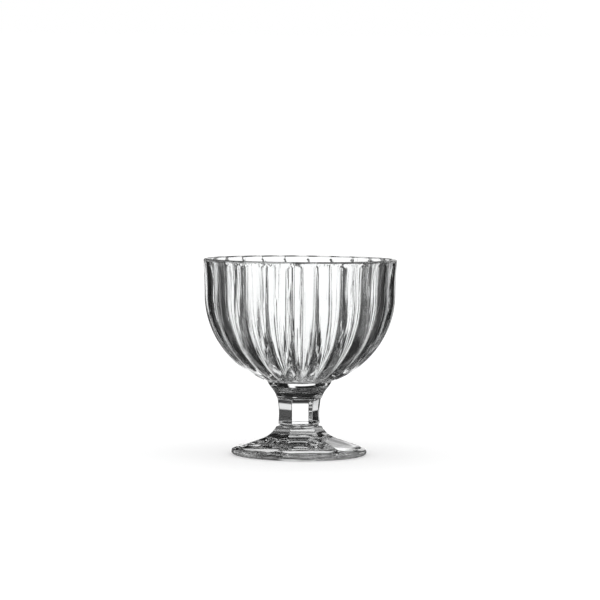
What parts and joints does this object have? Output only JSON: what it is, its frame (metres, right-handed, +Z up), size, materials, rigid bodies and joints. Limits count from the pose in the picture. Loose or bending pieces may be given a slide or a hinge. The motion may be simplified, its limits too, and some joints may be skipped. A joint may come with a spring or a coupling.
{
  "type": "footed ice cream glass",
  "caption": "Clear pressed glass coupe for ice cream or parfait: a deep fluted bowl on a short six-sided stem and a spreading foot.",
  "frame": {"origin": "on the surface that the glass stands on, under the middle of the foot", "axes": "+Z up the axis to the mouth; a flat of the stem faces -Y and a corner of it faces +X"},
  "size_m": [0.1038, 0.1038, 0.1054],
  "materials": {
    "clear_glass": "fire-polished clear pressed glass"
  },
  "bodies": {
    "root": {"bowl": "clear_glass", "stem": "clear_glass", "foot": "clear_glass"}
  },
  "joints": []
}
